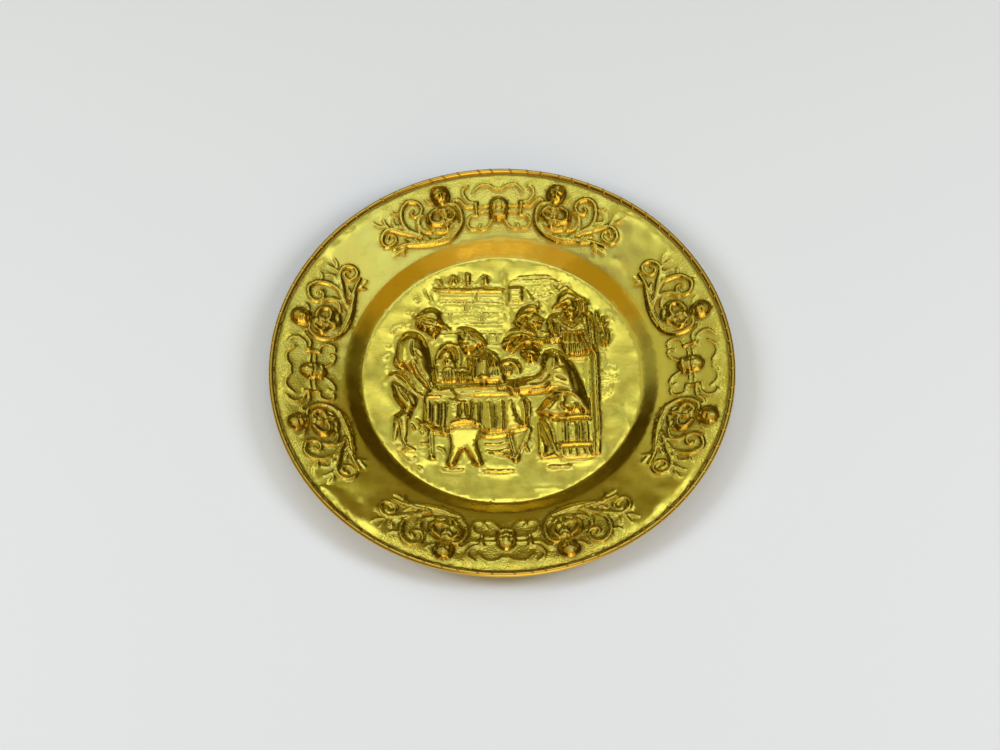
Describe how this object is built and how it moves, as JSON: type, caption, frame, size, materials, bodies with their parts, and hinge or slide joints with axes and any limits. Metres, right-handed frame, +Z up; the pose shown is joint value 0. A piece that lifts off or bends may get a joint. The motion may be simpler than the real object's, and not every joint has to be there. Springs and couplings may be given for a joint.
{
  "type": "decorative embossed plate",
  "caption": "Round sheet-metal charger plate: sunken centre pressed with a tavern scene, broad sloping rim with raised scroll ornaments, rolled edge.",
  "frame": {"origin": "centre of the underside of the well floor, which the plate lies on", "axes": "+Z up through the plate's centre towards its embossed face, +Y towards the top of the pressed picture, +X to the picture's right"},
  "size_m": [0.4494, 0.4494, 0.0301],
  "materials": {
    "pressed_brass": "satin, with darker tarnish in the hollows"
  },
  "bodies": {
    "root": {"embossed_plate": "pressed_brass"}
  },
  "joints": []
}
